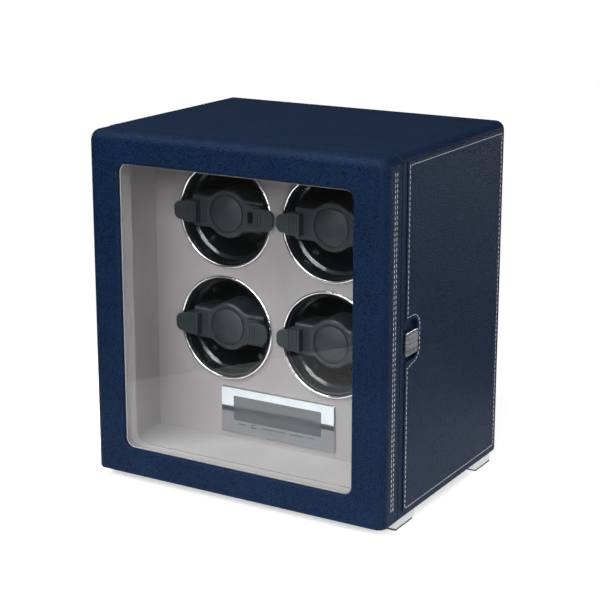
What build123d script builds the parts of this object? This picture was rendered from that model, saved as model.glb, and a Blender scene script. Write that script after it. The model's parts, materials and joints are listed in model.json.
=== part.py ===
from build123d import *
import math
import os

# Leather-covered watch winder box with four turntables behind a glazed door.
# Millimetres. +X is right seen from the front, the front faces -Y and +Z is up.
# The origin is the middle of the footprint, on the surface that the box stands on.

os.makedirs("parts", exist_ok=True)

# ---- driving dimensions -------------------------------------------------------------

WIDTH = 285.0               # leather to leather
DEPTH = 222.0               # front of the door to the back of the cabinet
BODY_HEIGHT = 302.0         # cabinet and door, without the feet
FOOT_METAL = 7.0
FOOT_PAD = 1.5
DOOR_THICKNESS = 25.0
DOOR_GAP = 0.4              # between the closed door and the cabinet
LEATHER = 1.2
SUEDE = 0.8
TOP_EDGE_RADIUS = 8.0       # top and rear edges of the cabinet
BOTTOM_EDGE_RADIUS = 2.4
DOOR_CORNER_RADIUS = 10.0
DOOR_EDGE_RADIUS = 8.0
DOOR_BOTTOM_RADIUS = 2.0    # the door's bottom edge is nearly square
SEAM_RADIUS = 1.0           # leather edges on both sides of the door's seam
WINDOW_MARGIN = 30.2        # leather frame beside the window
WINDOW_MARGIN_TOP = 27.0
WINDOW_MARGIN_BOTTOM = 24.2
WINDOW_RADIUS = 8.0
BOARD_SIDE = 14.5           # side board
BOARD_FLAT = 19.8           # top and bottom board
FASCIA_DEPTH = 75.0         # front of the door to the suede front board
PITCH_X = 104.0             # between turntable axes
PITCH_Z = 101.0
TURNTABLES_ABOVE_BASE = 174.0
RING_RADIUS = 47.2
TEETH_GEAR = 36
TEETH_PINION = 12
GEAR_MODULE = 1.5
CLIP_TRAVEL = 6.5

# ---- places that follow from them ---------------------------------------------------

FRONT = -DEPTH / 2
BACK = DEPTH / 2
BOTTOM = FOOT_METAL + FOOT_PAD
TOP = BOTTOM + BODY_HEIGHT
MID_Z = (BOTTOM + TOP) / 2
SIDE = WIDTH / 2
DOOR_BACK = FRONT + DOOR_THICKNESS
CABINET_FRONT = DOOR_BACK + DOOR_GAP
SIDE_INNER = SIDE - LEATHER - BOARD_SIDE
FLOOR_Z = BOTTOM + LEATHER + BOARD_FLAT
CEILING_Z = TOP - LEATHER - BOARD_FLAT
INNER_HEIGHT = CEILING_Z - FLOOR_Z
FASCIA_Y = FRONT + FASCIA_DEPTH
FASCIA_BOARD = 6.0
FASCIA_BACK = FASCIA_Y + SUEDE + FASCIA_BOARD
WINDOW_WIDTH = WIDTH - 2 * WINDOW_MARGIN
WINDOW_HEIGHT = BODY_HEIGHT - WINDOW_MARGIN_TOP - WINDOW_MARGIN_BOTTOM
WINDOW_Z = BOTTOM + WINDOW_MARGIN_BOTTOM + WINDOW_HEIGHT / 2

TURNTABLE_Z = BOTTOM + TURNTABLES_ABOVE_BASE
TURNTABLES = {
    "top_left": (-PITCH_X / 2, TURNTABLE_Z + PITCH_Z / 2),
    "top_right": (PITCH_X / 2, TURNTABLE_Z + PITCH_Z / 2),
    "bottom_left": (-PITCH_X / 2, TURNTABLE_Z - PITCH_Z / 2),
    "bottom_right": (PITCH_X / 2, TURNTABLE_Z - PITCH_Z / 2),
}
GEAR_CENTRES = GEAR_MODULE * (TEETH_GEAR + TEETH_PINION) / 2


# ---- helpers ------------------------------------------------------------------------

def facing(y):
    """Plane at depth y: a sketch on it reads (x, z), and extrusion runs to the front."""
    return Plane.XZ.offset(-y)


def sideways(x):
    """Plane at x: a sketch on it reads (y, z), and extrusion runs to +X."""
    return Plane.YZ.offset(x)


def slab(width, height, y_front, y_rear, x=0.0, z=MID_Z, radius=0.0, mode=Mode.ADD):
    """A plate or a pocket seen from the front, between two depths."""
    with BuildSketch(facing(y_rear)) as outline:
        with Locations((x, z)):
            if radius:
                RectangleRounded(width, height, radius)
            else:
                Rectangle(width, height)
    extrude(outline.sketch, amount=y_rear - y_front, mode=mode)


def rod(radius, y_front, y_rear, x=0.0, z=MID_Z, mode=Mode.ADD):
    """A round bar or a hole along Y, between two depths."""
    with BuildSketch(facing(y_rear)) as outline:
        with Locations((x, z)):
            Circle(radius)
    extrude(outline.sketch, amount=y_rear - y_front, mode=mode)


def block(x_range, y_range, z_range, mode=Mode.ADD):
    """A box between two corners."""
    sizes = [high - low for low, high in (x_range, y_range, z_range)]
    middle = [(high + low) / 2 for low, high in (x_range, y_range, z_range)]
    with Locations(tuple(middle)):
        Box(*sizes, mode=mode)


def save(piece, name):
    """Labels a finished piece and writes its file."""
    piece.part.label = name
    export_step(piece.part, f"parts/{name}.step")


# ---- hinge and latch places, which several pieces are cut for -------------------------

HINGE_OUT = 2.0             # the knuckles stand this far out of the side
KNUCKLE_RADIUS = 2.6
HINGE_X = -(SIDE + HINGE_OUT - KNUCKLE_RADIUS)
HINGE_Y = (DOOR_BACK + CABINET_FRONT) / 2
HINGE_HEIGHT = 30.0
HINGE_ZS = (BOTTOM + 45.0, TOP - 45.0)
HINGE_GROOVE = KNUCKLE_RADIUS + 0.5
HINGE_CORNER = 3.0          # rounding of the seam's left edges, so that the door can swing
LEAF_WIDTH = 14.4
LEAF_THICKNESS = 1.2
PIN_RADIUS = 1.2

NOTCH_Y = (FRONT + 30.5, FRONT + 54.5)
NOTCH_Z = BOTTOM + 150.0
NOTCH_HEIGHT = 33.4
NOTCH_DEPTH = 3.0
NOTCH_RADIUS = 8.0
NOTCH_SHEET = 0.5           # leather on the floor of the recess
ESCUTCHEON = 1.0
BUTTON_Y = (NOTCH_Y[0] + 1.9, NOTCH_Y[1] - 1.9)
BUTTON_Z = BOTTOM + 148.0
BUTTON_HEIGHT = 19.4
BUTTON_PLATE = 1.8
BUTTON_OUT = SIDE + HINGE_OUT
STEM_Y = (FRONT + 38.0, FRONT + 46.0)
STEM_HALF = 4.0
STEM_GAP = 0.4
BOLT_X = (133.0, 136.0)
HOUSING_X = (127.8, SIDE - NOTCH_DEPTH - ESCUTCHEON)
HOUSING_Y = (FRONT + 31.2, FRONT + 50.8)
HOUSING_HALF = 8.8
HOUSING_WALL = 1.0
CHANNEL_X = (129.8, 136.5)
CHANNEL_HALF = 5.0
STRIKE_X = (126.5, 141.0)
STRIKE_WINDOW_X = (129.8, 138.5)
STRIKE_HALF = 12.0
STRIKE_WINDOW_HALF = 6.0
BARB = 2.2


def hinge_corner(inset, y_corner, into):
    """Rounds the left vertical edge at the seam; into is +1 on the cabinet, -1 on the door."""
    reach = HINGE_CORNER - inset
    with BuildSketch(Plane.XY.offset(BOTTOM - 1)) as corner:
        with Locations((-SIDE + inset, y_corner + into * inset)):
            Rectangle(2 * reach, 2 * reach)
        with Locations((-SIDE + HINGE_CORNER, y_corner + into * HINGE_CORNER)):
            Circle(reach, mode=Mode.SUBTRACT)
    extrude(corner.sketch, amount=BODY_HEIGHT + 2, mode=Mode.SUBTRACT)


def knuckle_grooves():
    """Clears the hinge knuckles."""
    with Locations(*[(HINGE_X, HINGE_Y, z) for z in HINGE_ZS]):
        Cylinder(HINGE_GROOVE, HINGE_HEIGHT + 1, mode=Mode.SUBTRACT)


def leaf_mortises(y_range):
    """Lets the hinge leaves in flush."""
    for z in HINGE_ZS:
        half = HINGE_HEIGHT / 2
        block((HINGE_X - 4, HINGE_X + LEAF_WIDTH), y_range, (z - half, z + half), Mode.SUBTRACT)


def notch(x_range, front=NOTCH_Y[0], grow=0.0, mode=Mode.SUBTRACT):
    """The rounded recess round the latch button in the right-hand side, grown if asked."""
    with BuildSketch(sideways(x_range[0])) as outline:
        with Locations(((front + NOTCH_Y[1]) / 2, NOTCH_Z)):
            RectangleRounded(NOTCH_Y[1] - front + 2 * grow, NOTCH_HEIGHT + 2 * grow, NOTCH_RADIUS + grow)
    extrude(outline.sketch, amount=x_range[1] - x_range[0], mode=mode)


def latch_cuts():
    """Pocket for the latch housing, and the bolt's channel to the seam."""
    half = HOUSING_HALF + 0.1
    z = BUTTON_Z
    block(HOUSING_X, HOUSING_Y, (z - half, z + half), Mode.SUBTRACT)
    block(CHANNEL_X, (CABINET_FRONT - 1, HOUSING_Y[0] + 1),
          (z - CHANNEL_HALF, z + CHANNEL_HALF), Mode.SUBTRACT)


# ---- cabinet --------------------------------------------------------------------------

def cabinet_block(inset):
    """The cabinet's outer form, drawn in by inset on every side."""
    with BuildPart() as form:
        block((-SIDE + inset, SIDE - inset), (CABINET_FRONT + inset, BACK - inset),
              (BOTTOM + inset, TOP - inset))
        top_long = form.edges().filter_by(Axis.Y).group_by(Axis.Z)[-1]
        rear = form.faces().sort_by(Axis.Y)[-1].edges()
        fillet(top_long + rear, TOP_EDGE_RADIUS - inset)
        fillet(form.edges().filter_by(Axis.Y).group_by(Axis.Z)[0], BOTTOM_EDGE_RADIUS - inset)
        if inset == 0:
            fillet(form.faces().sort_by(Axis.Y)[0].edges(), SEAM_RADIUS)
    return form.part


def carcass_board(name, x_range, z_range):
    """One board of the carcass, cut from the hollow cabinet form."""
    with BuildPart() as board:
        add(cabinet_block(LEATHER))
        block((-SIDE_INNER, SIDE_INNER), (FRONT, BACK + 1), (FLOOR_Z, CEILING_Z), Mode.SUBTRACT)
        block(x_range, (FRONT, BACK), z_range, Mode.INTERSECT)
        if z_range[0] == BOTTOM:
            foot_screw_holes()
        if x_range[0] < -SIDE_INNER:
            hinge_corner(LEATHER, CABINET_FRONT, +1)
            knuckle_grooves()
        if x_range[1] > SIDE_INNER:
            notch((SIDE - NOTCH_DEPTH - ESCUTCHEON, SIDE + 1))
            notch((SIDE - NOTCH_DEPTH, SIDE + 1), grow=LEATHER)
            latch_cuts()
    save(board, name)


def cabinet_leather():
    with BuildPart() as wrap:
        add(cabinet_block(0))
        add(cabinet_block(LEATHER), mode=Mode.SUBTRACT)
        block((-SIDE_INNER, SIDE_INNER), (FRONT, BACK + 1), (FLOOR_Z, CEILING_Z), Mode.SUBTRACT)
        hinge_corner(0, CABINET_FRONT, +1)
        knuckle_grooves()
        leaf_mortises((CABINET_FRONT - 1, CABINET_FRONT + LEAF_THICKNESS))
        notch((SIDE - NOTCH_DEPTH, SIDE - LEATHER / 2), grow=LEATHER, mode=Mode.ADD)
        notch((SIDE - NOTCH_DEPTH + NOTCH_SHEET, SIDE + 1))
        stem_z = (BUTTON_Z - STEM_HALF - STEM_GAP, BUTTON_Z + STEM_HALF + STEM_GAP)
        block((SIDE - NOTCH_DEPTH - 1, SIDE), (STEM_Y[0] - STEM_GAP, STEM_Y[1] + STEM_GAP), stem_z,
              Mode.SUBTRACT)
        latch_cuts()
        foot_screw_holes()
    save(wrap, "cabinet_leather")


FOOT_X = (111.5, 140.5)
FOOT_YS = ((CABINET_FRONT + 0.8, CABINET_FRONT + 33.8), (BACK - 45.0, BACK - 12.0))
FOOT_TAPER = 2.5
FOOT_SCREW_RADIUS = 2.0
FOOT_SCREW_LENGTH = 20.0


def foot_screw_places():
    """Two screws in each foot, as (x, y)."""
    middle = sum(FOOT_X) / 2
    return [(sign * middle, y)
            for sign in (-1, 1)
            for y_low, y_high in FOOT_YS
            for y in (y_low + 9, y_high - 9)]


def foot_screw_holes():
    """Holes for the feet's screws, from below."""
    with Locations(*[(x, y, FOOT_PAD + FOOT_SCREW_LENGTH / 2) for x, y in foot_screw_places()]):
        Cylinder(FOOT_SCREW_RADIUS, FOOT_SCREW_LENGTH, mode=Mode.SUBTRACT)


PANEL_THICKNESS = 0.8
PANEL_Y = (FRONT + 33.4, BACK - 9.5)
PANEL_Z = (BOTTOM + 5.0, TOP - 7.0)


def side_panel(name, sign):
    """The stitched leather panel laid on one side, notched round the latch on the right."""
    with BuildPart() as panel:
        inner, outer = sorted((sign * SIDE, sign * (SIDE + PANEL_THICKNESS)))
        block((inner, outer), PANEL_Y, PANEL_Z)
        fillet(panel.edges().filter_by(Axis.X), 2.0)
        if sign > 0:
            notch((SIDE - 1, SIDE + 2), front=NOTCH_Y[0] - 10)
    save(panel, name)


def cavity_lining():
    """Suede on the floor, walls and ceiling in front of the fascia."""
    with BuildPart() as lining:
        slab(2 * SIDE_INNER, INNER_HEIGHT, CABINET_FRONT, FASCIA_Y)
        slab(2 * (SIDE_INNER - SUEDE), INNER_HEIGHT - 2 * SUEDE, FRONT, BACK, mode=Mode.SUBTRACT)
    save(lining, "cavity_lining")


RING_INNER = RING_RADIUS - 2.6
RING_FRONT = FASCIA_Y - 2.8
SLEEVE_RADIUS = RING_INNER + 1.0
LCD_WIDTH = 89.0
LCD_HEIGHT = 22.4
LCD_Z = BOTTOM + 51.3
CONTROL_Z = BOTTOM + 49.0
CONTROL_WIDTH = 115.0
CONTROL_HEIGHT = 42.0
MODULE_MARGIN = 3.0         # the display module is this much larger than its window


def fascia(name, y_front, y_rear):
    """The board in front of the drive, or its suede, with its four round holes."""
    with BuildPart() as sheet:
        slab(2 * SIDE_INNER - 0.4, INNER_HEIGHT - 0.4, y_front, y_rear)
        for x, z in TURNTABLES.values():
            rod(SLEEVE_RADIUS, y_front, y_rear, x, z, Mode.SUBTRACT)
        slab(LCD_WIDTH + 2 * MODULE_MARGIN, LCD_HEIGHT + 2 * MODULE_MARGIN, y_front, y_rear,
             z=LCD_Z, mode=Mode.SUBTRACT)
    save(sheet, name)


def bezel_rings():
    """Polished rings with a sleeve that lines each hole of the fascia."""
    with BuildPart() as ring:
        with BuildSketch(Plane.XY) as section:
            with BuildLine():
                Polyline((RING_INNER, FASCIA_BACK), (RING_INNER, RING_FRONT), (RING_RADIUS, RING_FRONT),
                         (RING_RADIUS, FASCIA_Y), (SLEEVE_RADIUS, FASCIA_Y), (SLEEVE_RADIUS, FASCIA_BACK),
                         close=True)
            make_face()
            corners = section.vertices().group_by(Axis.Y)[0]
            fillet(corners, 1.2)
        revolve(axis=Axis.Y)
    with BuildPart() as rings:
        with Locations(*[(x, 0, z) for x, z in TURNTABLES.values()]):
            add(ring.part)
    save(rings, "bezel_rings")


def control_panel():
    """Mirror plate, display module behind its window, and the board that drives the motors."""
    plate_front = FASCIA_Y - 2.4
    with BuildPart() as plate:
        slab(CONTROL_WIDTH, CONTROL_HEIGHT, plate_front, FASCIA_Y, z=CONTROL_Z, radius=1.0)
        chamfer(plate.faces().sort_by(Axis.Y)[0].edges(), 0.6)
        slab(LCD_WIDTH, LCD_HEIGHT, FRONT, BACK, z=LCD_Z, radius=0.8, mode=Mode.SUBTRACT)
    save(plate, "control_bezel")
    with BuildPart() as module:
        slab(LCD_WIDTH - 0.2, LCD_HEIGHT - 0.2, plate_front + 0.7, FASCIA_Y, z=LCD_Z, radius=0.7)
        slab(LCD_WIDTH + 2 * MODULE_MARGIN - 0.4, LCD_HEIGHT + 2 * MODULE_MARGIN - 0.4,
             FASCIA_Y, FASCIA_BACK, z=LCD_Z)
    save(module, "lcd_module")
    with BuildPart() as board:
        slab(104, 40, FASCIA_BACK + 4, FASCIA_BACK + 5.6, z=CONTROL_Z)
        for x in (-46, 46):
            for z in (-16.5, 16.5):
                rod(2.5, FASCIA_BACK, FASCIA_BACK + 4, x, CONTROL_Z + z)
        slab(14, 14, FASCIA_BACK + 5.6, FASCIA_BACK + 7.6, x=-12, z=CONTROL_Z + 3)
        slab(8, 5, FASCIA_BACK + 5.6, FASCIA_BACK + 7.1, x=14, z=CONTROL_Z + 8)
        for x in (-36, -24, 24, 36):
            slab(8, 6, FASCIA_BACK + 5.6, FASCIA_BACK + 11.6, x=x, z=CONTROL_Z - 14)
        rod(4, FASCIA_BACK + 5.6, FASCIA_BACK + 15.6, 38, CONTROL_Z + 8)
    save(board, "controller_board")


BATTEN = 12.0
DRIVE_PLATE_Y = (40.0, 43.0)
DRIVE_PLATE_Z = (BOTTOM + 76.0, CEILING_Z - 0.5)
COVER_Y = (103.0, 106.0)
WOOD_SCREW_RADIUS = 1.75
PLATE_SCREW = 14.0
COVER_SCREW = 12.0


def wood_battens():
    """Two upright battens that carry the fascia and the drive plate, and four rear corner blocks."""
    with BuildPart() as battens:
        for sign in (-1, 1):
            x_range = sorted((sign * SIDE_INNER, sign * (SIDE_INNER - BATTEN)))
            block(x_range, (FASCIA_BACK, DRIVE_PLATE_Y[0]), (FLOOR_Z, CEILING_Z))
            for z_range in ((FLOOR_Z, FLOOR_Z + 30), (CEILING_Z - 30, CEILING_Z)):
                block(x_range, (COVER_Y[0] - BATTEN, COVER_Y[0]), z_range)
        for x, z in plate_screw_places():
            rod(WOOD_SCREW_RADIUS, DRIVE_PLATE_Y[1] - PLATE_SCREW, DRIVE_PLATE_Y[0], x, z, Mode.SUBTRACT)
        for x, z in cover_screw_places():
            rod(WOOD_SCREW_RADIUS, COVER_Y[1] - COVER_SCREW, COVER_Y[0], x, z, Mode.SUBTRACT)
    save(battens, "wood_battens")


def screw(head_radius, head, shank_radius, shank):
    """A pan-head screw along Y: the head's underside is at y = 0 and the shank runs forward."""
    with BuildPart() as piece:
        rod(head_radius, 0, head, 0, 0)
        fillet(piece.faces().sort_by(Axis.Y)[-1].edges(), 0.35 * head)
        rod(shank_radius, -shank, 0, 0, 0)
        slab(1.3 * head_radius, 0.25 * head_radius, 0.5 * head, 2 * head, z=0, mode=Mode.SUBTRACT)
        slab(0.25 * head_radius, 1.3 * head_radius, 0.5 * head, 2 * head, z=0, mode=Mode.SUBTRACT)
    return piece.part


def screw_group(name, pattern, places):
    with BuildPart() as group:
        with Locations(*places):
            add(pattern)
    save(group, name)


# ---- drive ------------------------------------------------------------------------------

SPINDLE_RADIUS = 4.0
BUSH_RADIUS = 6.0
BUSH_FLANGE = 8.5
RUNNING = 0.05              # radial clearance of a running fit
GEAR_Y = (26.5, 32.5)
PINION_Y = (26.8, 32.2)
MOTOR_RADIUS = 12.5
MOTOR_NOSE = 5.0
MOTOR_SHAFT = 2.0
MOTOR_SCREW_REACH = 8.5


def motor_places():
    """Each motor sits beside its turntable, towards the middle of the box."""
    return [(x - math.copysign(GEAR_CENTRES, x), z) for x, z in TURNTABLES.values()]


def drive_plate():
    with BuildPart() as plate:
        height = DRIVE_PLATE_Z[1] - DRIVE_PLATE_Z[0]
        slab(2 * SIDE_INNER - 1, height, *DRIVE_PLATE_Y, z=sum(DRIVE_PLATE_Z) / 2)
        for x, z in TURNTABLES.values():
            rod(BUSH_RADIUS, *DRIVE_PLATE_Y, x, z, Mode.SUBTRACT)
        for x, z in motor_places():
            rod(MOTOR_NOSE, *DRIVE_PLATE_Y, x, z, Mode.SUBTRACT)
            for side in (-1, 1):
                rod(1.3, *DRIVE_PLATE_Y, x, z + side * MOTOR_SCREW_REACH, Mode.SUBTRACT)
        for x, z in plate_screw_places():
            rod(1.8, *DRIVE_PLATE_Y, x, z, Mode.SUBTRACT)
    save(plate, "drive_plate")


def plate_screw_places():
    middle = sum(DRIVE_PLATE_Z) / 2
    return [(sign * (SIDE_INNER - BATTEN / 2), z)
            for sign in (-1, 1)
            for z in (DRIVE_PLATE_Z[0] + 10, middle, DRIVE_PLATE_Z[1] - 10)]


def plate_screws():
    pattern = screw(3.4, 2.2, WOOD_SCREW_RADIUS, PLATE_SCREW)
    places = [(x, DRIVE_PLATE_Y[1], z) for x, z in plate_screw_places()]
    screw_group("drive_plate_screws", pattern, places)


def spindle_bushes():
    """Flanged bronze bushes pressed into the drive plate."""
    with BuildPart() as bushes:
        for x, z in TURNTABLES.values():
            rod(BUSH_RADIUS, DRIVE_PLATE_Y[0] - 1.5, DRIVE_PLATE_Y[1] + 2.5, x, z)
            rod(BUSH_FLANGE, DRIVE_PLATE_Y[0] - 1.5, DRIVE_PLATE_Y[0], x, z)
            rod(SPINDLE_RADIUS + RUNNING, 0, BACK, x, z, Mode.SUBTRACT)
    save(bushes, "spindle_bushes")


def gear_motors():
    """Round geared motors: a nose that centres in the drive plate, gearbox, can and terminals."""
    rear = DRIVE_PLATE_Y[1]
    with BuildPart() as motors:
        for x, z in motor_places():
            rod(MOTOR_NOSE - 0.1, rear - 2.5, rear, x, z)
            rod(MOTOR_RADIUS, rear, rear + 14, x, z)
            rod(MOTOR_RADIUS - 0.8, rear + 14, rear + 36, x, z)
            rod(4, rear + 36, rear + 38, x, z)
            for side in (-1, 1):
                slab(2.4, 0.8, rear + 36, rear + 41, x=x + side * 8, z=z)
                rod(1.3, rear - 1, rear + 5, x, z + side * MOTOR_SCREW_REACH, Mode.SUBTRACT)
            rod(MOTOR_SHAFT + RUNNING, rear - 4, rear + 8, x, z, Mode.SUBTRACT)
    save(motors, "gear_motors")


def motor_screws():
    with BuildPart() as pattern:
        rod(2.4, -1.6, 0, 0, 0)
        rod(1.25, 0, 7, 0, 0)
    places = [(x, DRIVE_PLATE_Y[0], z + side * MOTOR_SCREW_REACH)
              for x, z in motor_places() for side in (-1, 1)]
    screw_group("motor_screws", pattern.part, places)


def gear_face(teeth, bore_radius, first_tooth=0.0):
    """Involute gear outline, with its first tooth at the angle first_tooth in degrees."""
    pressure = math.radians(25)
    pitch = GEAR_MODULE * teeth / 2
    base = pitch * math.cos(pressure)
    tip = pitch + GEAR_MODULE
    root = pitch - 1.25 * GEAR_MODULE
    backlash = 0.10
    half = math.pi / (2 * teeth) - backlash / (2 * pitch)
    flank_start = max(base, root)

    def flank(radius):
        """Half the tooth's angle at a radius."""
        angle = math.acos(min(1.0, base / radius))
        return half + (math.tan(pressure) - pressure) - (math.tan(angle) - angle)

    def at(radius, angle):
        return (radius * math.cos(angle), radius * math.sin(angle))

    radii = [flank_start + (tip - flank_start) * step / 3 for step in range(4)]
    with BuildSketch() as face:
        with BuildLine():
            for tooth in range(teeth):
                middle = math.radians(first_tooth) + 2 * math.pi * tooth / teeth
                following = middle + 2 * math.pi / teeth
                left = [at(r, middle - flank(r)) for r in radii]
                right = [at(r, middle + flank(r)) for r in reversed(radii)]
                foot = flank(flank_start)
                Spline(*left)
                ThreePointArc(left[-1], at(tip, middle), right[0])
                Spline(*right)
                valley = [at(root, middle + foot), at(root, (middle + following) / 2),
                          at(root, following - foot)]
                next_left = at(flank_start, following - foot)
                if flank_start > root:
                    Line(right[-1], valley[0])
                    ThreePointArc(*valley)
                    Line(valley[2], next_left)
                else:
                    ThreePointArc(right[-1], valley[1], next_left)
        make_face()
        Circle(bore_radius, mode=Mode.SUBTRACT)
    return face.sketch


CUP_RIM = RING_INNER - 0.7
CUP_RIM_Y = FASCIA_Y - 0.5
CUP_STEP_Y = FASCIA_Y + 10.0
CUP_INNER = 39.5
CUP_WALL = 2.0
CUP_FLOOR_Y = 20.0
RAIL_X = 33.0
HOLDER_HALF_WIDTH = 36.5
HOLDER_HALF_HEIGHT = 14.0
HOLDER_Y = (FASCIA_Y + 1.0, FASCIA_Y + 31.0)
SLIDE_GAP = 0.4


def cup_pattern():
    """A turntable cup round the Y axis: stepped wall, guide rails, rest ledges and lugs."""
    outer = CUP_INNER + CUP_WALL
    back = CUP_FLOOR_Y + CUP_WALL
    with BuildPart() as cup:
        with BuildSketch(Plane.XY):
            with BuildLine():
                Polyline((0, CUP_FLOOR_Y), (0, CUP_FLOOR_Y + 0.5), (SPINDLE_RADIUS, CUP_FLOOR_Y + 0.5),
                         (SPINDLE_RADIUS, GEAR_Y[0] - 0.5), (9, GEAR_Y[0] - 0.5), (9, back), (outer, back),
                         (outer, CUP_STEP_Y + 3.5), (CUP_RIM, CUP_STEP_Y + 1.5), (CUP_RIM, CUP_RIM_Y),
                         (CUP_RIM - 1.7, CUP_RIM_Y), (CUP_RIM - 1.7, CUP_STEP_Y),
                         (CUP_INNER, CUP_STEP_Y + 1.5), (CUP_INNER, CUP_FLOOR_Y), close=True)
            make_face()
        revolve(axis=Axis.Y)
        rail_z = HOLDER_HALF_HEIGHT + SLIDE_GAP
        for side in (-1, 1):
            x_range = sorted((side * RAIL_X, side * (CUP_INNER + 0.5)))
            for level in (-1, 1):
                z_range = sorted((level * rail_z, level * (rail_z + 2)))
                wall = math.sqrt(CUP_INNER ** 2 - (rail_z + 2) ** 2) + 1
                rail_x = sorted((side * RAIL_X, side * wall))
                block(rail_x, (CUP_STEP_Y + 2, CUP_FLOOR_Y + 1), z_range)
                rod(2.5, FASCIA_Y + 16, CUP_FLOOR_Y + 1, side * 24, level * 27)
            block(x_range if side > 0 else (x_range[0] + 0.5, x_range[1]),
                  (HOLDER_Y[1] + SLIDE_GAP, CUP_FLOOR_Y + 1), (-6, 6))
    return cup.part


TAB_HALF = 9.5
TAB_FRONT = FASCIA_Y - 6.0
TIP_BACK = RING_FRONT - 0.4
TAB_X = (-40.0, -27.5)
TAB_TIP = 50.2
TIP_HALF = 8.0
BULGE_RADIUS = 21.5
DISC_RADIUS = 15.5
DISC_GROOVE = 1.8
DOME_FRONT = HOLDER_Y[0] - 2.2
STEM_X = (24.0, 29.0)
PLATFORM_X = (21.5, 36.0)
PLATFORM_FRONT = TIP_BACK + 0.3


def holder_pattern():
    """A watch holder: cuff with a bulged middle and a domed disc, pull tab on the left."""
    with BuildPart() as holder:
        with BuildSketch(facing(HOLDER_Y[1])) as outline:
            RectangleRounded(2 * HOLDER_HALF_WIDTH, 2 * HOLDER_HALF_HEIGHT, 1.5)
            Circle(BULGE_RADIUS)
            joins = outline.vertices().filter_by(
                lambda v: abs(abs(v.Y) - HOLDER_HALF_HEIGHT) < 0.01 and abs(v.X) < BULGE_RADIUS)
            fillet(joins, 9)
        extrude(amount=HOLDER_Y[1] - HOLDER_Y[0])
        fillet(holder.faces().sort_by(Axis.Y)[0].edges(), 2.4)
        fillet(holder.faces().sort_by(Axis.Y)[-1].edges(), 2.0)
        rod(DISC_RADIUS + DISC_GROOVE, FRONT, HOLDER_Y[0] + 1.6, 0, 0, Mode.SUBTRACT)
        with BuildSketch(Plane.XY):
            with BuildLine():
                Polyline((0, DOME_FRONT), (0, HOLDER_Y[0] + 3), (DISC_RADIUS, HOLDER_Y[0] + 3),
                         (DISC_RADIUS, HOLDER_Y[0] + 0.4))
                TangentArc((0, DOME_FRONT), (DISC_RADIUS, HOLDER_Y[0] + 0.4), tangent=(1, 0))
            make_face()
        revolve(axis=Axis.Y)
        width = TAB_X[1] - TAB_X[0]
        slab(width, 2 * TAB_HALF, TAB_FRONT, HOLDER_Y[0] + 3, x=sum(TAB_X) / 2, z=0)
        slab(TAB_TIP + TAB_X[0] + 5, 2 * TIP_HALF, TAB_FRONT + 0.4, TIP_BACK,
             x=-(TAB_TIP + TAB_X[0] + 5) / 2 + TAB_X[0] + 5, z=0)
        tip_edges = holder.edges().filter_by(Axis.Y).group_by(Axis.X)[0]
        fillet(tip_edges, 6.0)
        for rib in range(4):
            slab(0.8, 2 * TAB_HALF - 3, TAB_FRONT - 1, TAB_FRONT + 0.5,
                 x=TAB_X[1] - 2.2 - 2.6 * rib, z=0, mode=Mode.SUBTRACT)
        for rib in range(4):
            slab(0.6, 2 * HOLDER_HALF_HEIGHT - 8, HOLDER_Y[0] - 1, HOLDER_Y[0] + 0.4,
                 x=-25.6 + 1.6 * rib, z=0, mode=Mode.SUBTRACT)
        slab(PLATFORM_X[1] - PLATFORM_X[0], 22, PLATFORM_FRONT, HOLDER_Y[0] + 3,
             x=sum(PLATFORM_X) / 2, z=0)
        slot_x = (STEM_X[0] - 0.3, STEM_X[1] + CLIP_TRAVEL + 0.3)
        slab(slot_x[1] - slot_x[0], 10.6, FRONT, HOLDER_Y[0] + 5, x=sum(slot_x) / 2, z=0,
             mode=Mode.SUBTRACT)
    return holder.part


CLIP_TIP = TAB_TIP - CLIP_TRAVEL


def clip_pattern():
    """The right-hand clip, drawn in: plate with a rounded tip, grip grooves and a stem."""
    with BuildPart() as clip:
        slab(CLIP_TIP - STEM_X[0], 2 * TAB_HALF, TAB_FRONT, TIP_BACK,
             x=(CLIP_TIP + STEM_X[0]) / 2, z=0)
        fillet(clip.edges().filter_by(Axis.Y).group_by(Axis.X)[-1], 7.0)
        fillet(clip.faces().sort_by(Axis.Y)[0].edges(), 0.6)
        slab(STEM_X[1] - STEM_X[0], 10, TIP_BACK - 1, HOLDER_Y[0] + 4.5, x=sum(STEM_X) / 2, z=0)
        for rib in range(3):
            slab(0.8, 2 * TAB_HALF - 5, TAB_FRONT - 1, TAB_FRONT + 0.5, x=STEM_X[0] + 3 + 2.6 * rib, z=0,
                 mode=Mode.SUBTRACT)
    return clip.part


def gear_pattern():
    """The drive gear with its hub on the turntable spindle, round the Y axis."""
    with BuildPart() as gear:
        with BuildSketch(facing(GEAR_Y[1])):
            add(gear_face(TEETH_GEAR, SPINDLE_RADIUS - 0.5))
        extrude(amount=GEAR_Y[1] - GEAR_Y[0])
        rod(7, GEAR_Y[0], GEAR_Y[1] + 4, 0, 0)
        rod(SPINDLE_RADIUS, CUP_FLOOR_Y + 0.5, DRIVE_PLATE_Y[1] + 6, 0, 0)
        for spoke in range(6):
            angle = math.radians(60 * spoke + 30)
            rod(5, GEAR_Y[0], GEAR_Y[1], 16 * math.cos(angle), 16 * math.sin(angle), Mode.SUBTRACT)
    return gear.part


def pinion_pattern():
    """The motor pinion with its shaft, round the Y axis."""
    with BuildPart() as pinion:
        with BuildSketch(facing(PINION_Y[1])):
            add(gear_face(TEETH_PINION, MOTOR_SHAFT - 0.5, 180 / TEETH_PINION))
        extrude(amount=PINION_Y[1] - PINION_Y[0])
        rod(5, PINION_Y[1], PINION_Y[1] + 3, 0, 0)
        rod(MOTOR_SHAFT, PINION_Y[0] - 1, DRIVE_PLATE_Y[1] + 7, 0, 0)
    return pinion.part


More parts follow.
